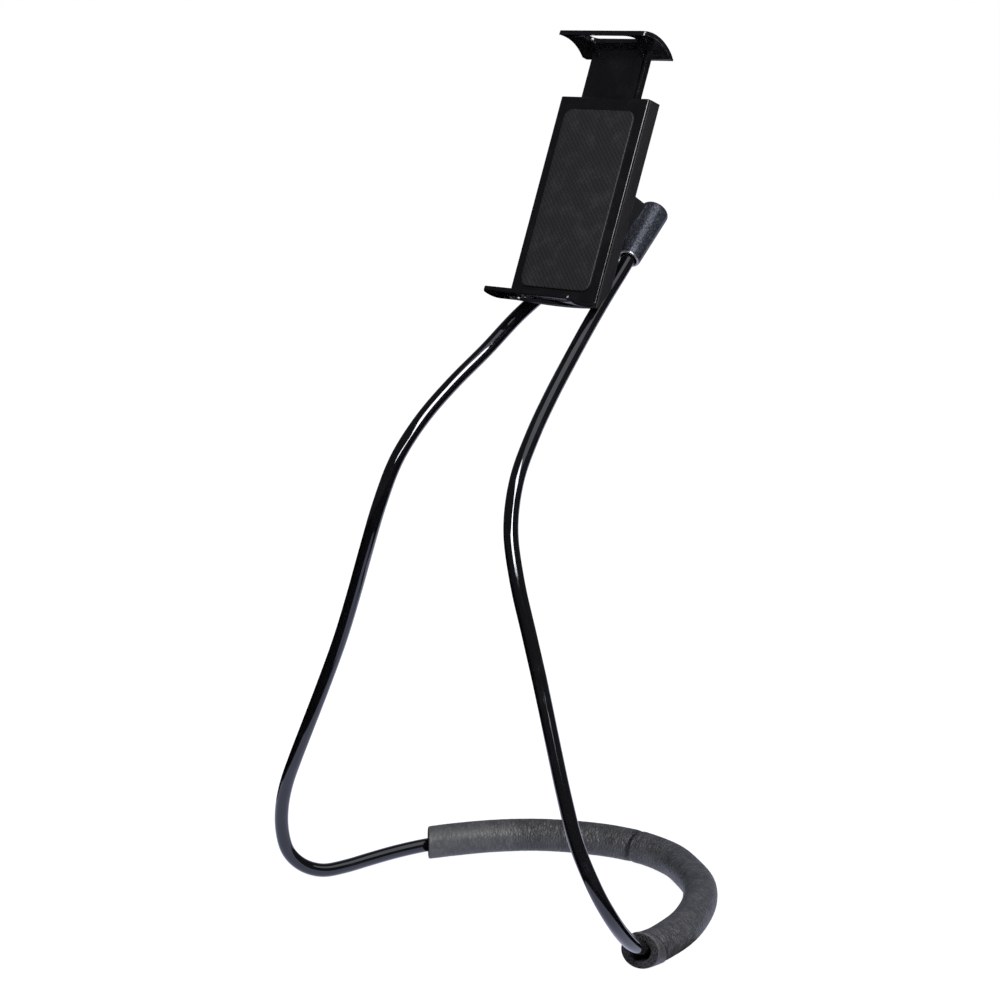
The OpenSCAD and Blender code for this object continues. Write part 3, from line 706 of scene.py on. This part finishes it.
near_end = np.clip(1 - from_end / ASKEW_WITHIN, 0, 1)
near_end = near_end ** 2 * (3 - 2 * near_end)
level_nape = NAPE_SIDE * [1, 1, 0]
sideways = level_nape - (ahead @ level_nape)[:, None] * ahead
sideways /= np.linalg.norm(sideways, axis=1, keepdims=True)
askew = near_end * np.einsum("rck,rk->rc", outward, sideways)
push = -CUT_ASKEW * radius_at * askew[ring_at]
bulge = CUT_BULGE * np.sin(np.pi * across_cut)[:, None] + 0.05 * lumps[:CUT_ROWS]
push[count:count + CUT_ROWS] += bulge
push[-CUT_ROWS:] -= bulge
foam = foam_line[ring_at][:, None] + radius_at[..., None] * outward[ring_at]
foam += push[..., None] * ahead[ring_at][:, None]
foam[..., 2] = np.maximum(foam[..., 2], OVER_FLOOR)

foam_sleeve = new_piece("neck_foam", foam * MM,
                        grid_faces(len(ring_at), FOAM_COLUMNS, round_columns=True, round_rows=True),
                        "foam_grey", "loop")
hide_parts("foam_sleeve")
print("foam mesh:", len(foam_sleeve.data.polygons), "faces")

# %% [markdown]
# The mesh now tells the foam's finish what it needs. Painted shade darkens the crease, the
# squeezed wrinkles and the hem, and the bore too, so that it stays dark. The skin is taut at the
# spread end, at the left end and wherever the bend stretches it, and there and on the fold's ridge
# it is paler with a painted sheen. The UV map runs along the sleeve and round it to its far side
# and back, so it has no seam.

# %% What the foam's finish reads
PAINTED_BORE_SHADE = 0.8
TAUT_BY_STRAIN = 3.6
cut, crease, taut_and_sheen = (np.zeros_like(radius_at) for _ in range(3))
cut[count:] = 1.0
# Painted shade: the crease, the squeezed wrinkles, the hem and the bore are darkened.
crease[:count] = np.clip(1.1 * groove + 0.35 * squeeze * folds + 0.9 * hem, 0, 1)
crease[count + CUT_ROWS:-CUT_ROWS] = PAINTED_BORE_SHADE
# Painted sheen: the skin is paler on the spread end, the fold's ridge, the left end and the
# stretched side.
taut_and_sheen[:count] = np.clip(0.5 * spread + 0.9 * fold + smooth_sheen_start
                       - TAUT_BY_STRAIN * np.minimum(strain, 0), 0, 1)
for name, values in (("cut", cut), ("crease", crease), ("taut_and_sheen", taut_and_sheen)):
    paint(foam_sleeve, name, values)
    print(name, "covers", round(100 * float(values.mean())), "percent")
along_skin = (ring_at * FOAM_STEP * MM)[:, None]
round_skin = np.abs(np.linspace(-np.pi, np.pi, FOAM_COLUMNS, endpoint=False)) * FOAM_R * MM
add_uv(foam_sleeve, "sweep", *np.broadcast_arrays(along_skin, round_skin))

# %% [markdown]
# The grip pad is a thin sheet of rubber stuck to the plate, and the phone's back leans on it. It
# is built as rings that shrink towards the middle of a rectangle with round corners. Its face is
# crowned by a fraction of a millimetre, and its edge is rolled over.

# %% The grip pad
PAD_HALF = (24.0, 46.75)
PAD_CORNER, PAD_THICK = 5.0, 1.0
PAD_MIDDLE = 53.75


def round_rectangle(half_x, half_y, corner, per_corner=10, per_side=12):
    """Outline points, counter-clockwise: quarter circles at the corners and points between them."""
    quarter = np.linspace(0, np.pi / 2, per_corner)
    centres = np.array([(1, 1), (-1, 1), (-1, -1), (1, -1)]) * [half_x - corner, half_y - corner]
    angle = quarter[None, :] + np.arange(4)[:, None] * np.pi / 2
    arcs = centres[:, None] + corner * np.stack([np.cos(angle), np.sin(angle)], -1)
    gap = np.linspace(0, 1, per_side + 2)[1:-1][None, :, None]
    sides = arcs[:, -1:] + gap * (np.roll(arcs, -1, axis=0)[:, :1] - arcs[:, -1:])
    return np.concatenate([arcs, sides], axis=1).reshape(-1, 2)


pad_outline = round_rectangle(*PAD_HALF, PAD_CORNER)
inset = np.array([0.0, 0.0, 0.08, 0.25, 0.5, 1.0, 2.5, 5.0, 9.0, 14.0, 19.0, 23.6])
height = PAD_THICK * np.array([0.02, 0.55, 0.78, 0.92, 0.96, 0.97, 0.98, 0.99, 0.995,
                               1.0, 1.0, 1.0])
shrink = 1 - inset[:, None, None] / np.array(PAD_HALF)
pad_ring = pad_outline[None] * shrink
pad_out = np.broadcast_to(-height[:, None], pad_ring.shape[:2])
pad_points = np.stack([pad_ring[..., 0], pad_out, PAD_MIDDLE + pad_ring[..., 1]], -1)
pad_faces = grid_faces(len(inset), len(pad_outline), round_columns=True)
grip_pad = new_piece("phone_pad", in_clamp(pad_points), pad_faces, "pad_black", "clamp")
close = bmesh.new()
close.from_mesh(grip_pad.data)
bmesh.ops.holes_fill(close, edges=[e for e in close.edges if e.is_boundary])
bmesh.ops.recalc_face_normals(close, faces=close.faces)
close.to_mesh(grip_pad.data)
close.free()
placed = np.empty(len(grip_pad.data.vertices) * 3)
grip_pad.data.vertices.foreach_get("co", placed)
placed = placed.reshape(-1, 3)
add_uv(grip_pad, "flat", placed[:, 0], (placed - PIN) @ UP)
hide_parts("grip_pad")
print("pad:", len(grip_pad.data.polygons), "faces")

# %% [markdown]
# The moulded pieces come from the CAD with edges as sharp as a knife. A real mould leaves a small
# radius on every edge, and that radius is what catches the light. So each of them is copied, its
# flat facets are merged and its sharp edges are rounded. An edge that ends on a still sharper one
# isn't rounded, because that would throw a spike. It is marked sharp, so that the shading doesn't
# smear over it. The jaw's crown runs out into acute corners, so its rounding is measured along the
# faces and not across the edge.

# %% Moulded pieces with rounded edges
def bevel(piece, width_mm, measure, from_angle=32.0, to_angle=100.0):
    """Rounds the edges that turn by an angle in between, but none that ends on a sharper one."""
    shape = bmesh.new()
    shape.from_mesh(piece.data)
    weight = shape.edges.layers.float.new("bevel_weight_edge")
    turn = {edge: math.degrees(edge.calc_face_angle(0.0)) for edge in shape.edges}
    sharper = {corner for edge in shape.edges if turn[edge] >= to_angle for corner in edge.verts}
    for edge in shape.edges:
        round_it = from_angle < turn[edge] < to_angle and not sharper.intersection(edge.verts)
        edge[weight] = 1.0 if round_it else 0.0
        edge.smooth = round_it or turn[edge] <= from_angle
    shape.to_mesh(piece.data)
    shape.free()
    modifier = piece.modifiers.new("edges", "BEVEL")
    modifier.width, modifier.segments = width_mm * MM, 3
    modifier.limit_method, modifier.use_clamp_overlap = "WEIGHT", False
    modifier.offset_type = measure
    modifier.harden_normals = True


def rounded_copy(name, node_name, width_mm, measure="OFFSET"):
    """A copy of a CAD piece with its doubles merged, flats dissolved and sharp edges rounded."""
    node = frame["nodes"][node_name]
    shape = bmesh.new()
    shape.from_mesh(node.data)
    shape.transform(node.matrix_world)
    bmesh.ops.remove_doubles(shape, verts=shape.verts, dist=1e-6)
    bmesh.ops.dissolve_limit(shape, angle_limit=math.radians(0.6),
                             verts=shape.verts, edges=shape.edges)
    bmesh.ops.recalc_face_normals(shape, faces=shape.faces)
    mesh = bpy.data.meshes.new(name)
    shape.to_mesh(mesh)
    shape.free()
    mesh.materials.append(finishes[slot_of[node_name]])
    mesh.polygons.foreach_set("use_smooth", np.ones(len(mesh.polygons), bool))
    piece = bpy.data.objects.new(name, mesh)
    bpy.context.scene.collection.objects.link(piece)
    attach(piece, node["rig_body"])
    bevel(piece, width_mm, measure)
    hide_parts(node_name)


rounded_copy("plate_and_rest", "front_plate", 0.7)
rounded_copy("spring_housing", "rear_housing", 0.3)
rounded_copy("sliding_jaw", "upper_jaw", 0.35, measure="ABSOLUTE")
rounded_copy("wire_sockets", "socket_yoke", 0.3)
rounded_copy("tilting_fork", "swivel_fork", 0.3)

# %% [markdown]
# Two extension springs pull the jaw in. One eye of each sits on a post in the housing, the other
# on a post of the slider, so a spring gets longer as the jaw is drawn out and shorter as it goes
# in. Each spring is copied here in spring steel, and the copy stays where the spring stands.


def giving_spring(side):
    """A copy of one CAD spring, in spring steel, that stays where the spring stands."""
    node = frame["nodes"]["spring_" + side]
    mesh = node.data.copy()
    mesh.transform(node.matrix_world)
    mesh.materials.clear()
    mesh.materials.append(finishes["spring_steel"])
    spring = bpy.data.objects.new("pull_spring_" + side, mesh)
    bpy.context.scene.collection.objects.link(spring)
    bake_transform(spring)
    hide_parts("spring_" + side)


giving_spring("left")
giving_spring("right")

# %% [markdown]
# The studio can be read from the tube's own gloss. Where the tube is black it mirrors a dark
# room, and where it is blue-grey it mirrors white paper in cool light. That paper is a painted
# reflection: a patch of the floor that glows a cool white in reflections only. The blue-grey ends
# in sharp lines, so the patch ends too: it lies under most of the holder and to its left, with one
# slanting edge, and a round gleam that glows the same way lies beside the right bend. The tube's
# thin pale rims are the wall behind. Floor and wall glow to the camera, so that they look white
# without any of that glow falling on the holder, and the floor still takes its shadow.

# %% Floor and wall
# Painted reflection: the floor glows in reflections only, on a patch and a round gleam.
REFLECTED_PATCH_GLOW, WALL_SHINE = 1.10, 0.38
COOL = (0.74, 0.77, 1.0)
PATCH_LEFT, PATCH_RIGHT, PATCH_FRONT = -0.30, 0.11, -0.215
SLANT, SLANT_AT = 1.3, -0.13
GLEAM_AT, GLEAM_R = (0.13, -0.115, 0.0), 0.085


def glowing(name, shown, strength, glow_in_reflections):
    """White to the camera, a painted glow in reflections as bright as its last argument says, and
    matt white otherwise.
    """
    finish = Finish(name, Base_Color=(0.8, 0.8, 0.8, 1.0), Roughness=0.9, Specular_IOR_Level=0.0)
    camera_ray, glossy_ray, clear_ray = (finish.node("LightPath", output=ray) for ray in (
        "Is Camera Ray", "Is Glossy Ray", "Is Transmission Ray"))
    glow = finish.node("Emission", sockets={
        "Color": finish.shade(glossy_ray, (1, 1, 1), COOL),
        "Strength": strength * (1.0 - glossy_ray) + glow_in_reflections(finish) * glossy_ray})
    mixed = finish.node("MixShader", sockets={
        0: shown * camera_ray + glossy_ray + shown * clear_ray,
        1: Signal(finish, finish.shader.outputs[0]), 2: glow})
    output = next(n for n in finish.tree.nodes if n.type == "OUTPUT_MATERIAL")
    finish.tree.links.new(mixed.socket, output.inputs["Surface"])
    return finish.material


def glowing_patch_in_reflections(finish):
    """The painted reflection's glow: on a patch with one slanting edge, and on a round gleam by the
    right bend.
    """
    place = finish.place()
    across, back = (finish.node("SeparateXYZ", sockets={0: place}, output=k) for k in "XY")
    glow_patch = (finish.between(across, PATCH_LEFT, PATCH_LEFT + 0.02)
             * (1.0 - finish.between(across, PATCH_RIGHT, PATCH_RIGHT + 0.01))
             * finish.between(back, PATCH_FRONT, PATCH_FRONT + 0.01)
             * finish.between(back - SLANT * across, SLANT_AT, SLANT_AT + 0.012))
    away = finish.vector("DISTANCE", place, GLEAM_AT, output="Value")
    gleam = 1.0 - finish.between(away, GLEAM_R, GLEAM_R + 0.01)
    return REFLECTED_PATCH_GLOW * finish.node("Math", {"operation": "MAXIMUM"}, {0: glow_patch, 1: gleam})


def stage_plane(name, corners, material):
    """One big flat face with that material."""
    mesh = bpy.data.meshes.new(name)
    mesh.from_pydata(corners, [], [(0, 1, 2, 3)])
    mesh.materials.append(material)
    plane = bpy.data.objects.new(name, mesh)
    bpy.context.scene.collection.objects.link(plane)
    return plane


floor = stage_plane("floor", [(-6, -6, 0), (6, -6, 0), (6, 6, 0), (-6, 6, 0)],
                    glowing("floor_white", 0.85, 1.15, glowing_patch_in_reflections))
wall_far = stage_plane("wall", [(-6, 1.2, 0), (-1.2, 6, 0), (-1.2, 6, 5), (-6, 1.2, 5)],
                       glowing("wall_white", 1.0, 1.0, lambda finish: WALL_SHINE))

# %% [markdown]
# Two soft boxes draw the white streaks. The key is a tall one that leans to the side, above and a
# little to the right of the camera: the left arm mirrors it. A small strip closer by gives the
# right arm its short one. A broad light from high on the right is much weaker. It shapes the
# foam from above and draws the sheen along the sockets. A weak sky fills the shadows, and
# reflections see even less of it.

# %% Lamps
LOOK = Vector((0.0, 0.0, 0.24))
BOX_GLOW = 21.0


def aimed(name, data, azimuth, elevation, far, roll=0.0):
    """A lamp that far from the holder, at that azimuth to the right of the front, looking at it."""
    azimuth, elevation = math.radians(azimuth), math.radians(elevation)
    lamp = bpy.data.objects.new(name, data)
    away = Vector((math.sin(azimuth) * math.cos(elevation),
                   -math.cos(azimuth) * math.cos(elevation), math.sin(elevation)))
    lamp.location = LOOK + far * away
    turned = (-away).to_track_quat("-Z", "Y") @ Quaternion((0, 0, 1), math.radians(roll))
    lamp.rotation_euler = turned.to_euler()
    bpy.context.scene.collection.objects.link(lamp)
    return lamp


def softbox(name, wide, tall, **where):
    """A rectangle whose face glows by BOX_GLOW, so its power grows with its area."""
    data = bpy.data.lights.new(name, "AREA")
    data.shape, data.size, data.size_y = "RECTANGLE", wide, tall
    data.energy = math.pi * wide * tall * BOX_GLOW
    return aimed(name, data, **where)


key = softbox("key", 0.30, 0.67, azimuth=58.2, elevation=36.3, far=1.14, roll=45.3)
strip = softbox("strip", 0.29, 0.07, azimuth=52.8, elevation=17.6, far=0.64, roll=7.7)
top_data = bpy.data.lights.new("top", "SUN")
top_data.energy, top_data.angle = 0.85, math.radians(56)
aimed("top", top_data, azimuth=90, elevation=65, far=2.0)
print("key:", round(key.data.energy, 1), "W, strip:", round(strip.data.energy, 1), "W")

world = bpy.data.worlds.new("studio")
bpy.context.scene.world = world
world.use_nodes = True
sky = Nodes(world.node_tree)
background = next(n for n in sky.tree.nodes if n.type == "BACKGROUND")
background.inputs["Color"].default_value = (0.90, 0.94, 1.0, 1.0)
to_camera, to_gloss = (sky.node("LightPath", output=ray)
                       for ray in ("Is Camera Ray", "Is Glossy Ray"))
level = 0.16 + 0.96 * to_camera - 0.10 * to_gloss
sky.tree.links.new(level.socket, background.inputs["Strength"])
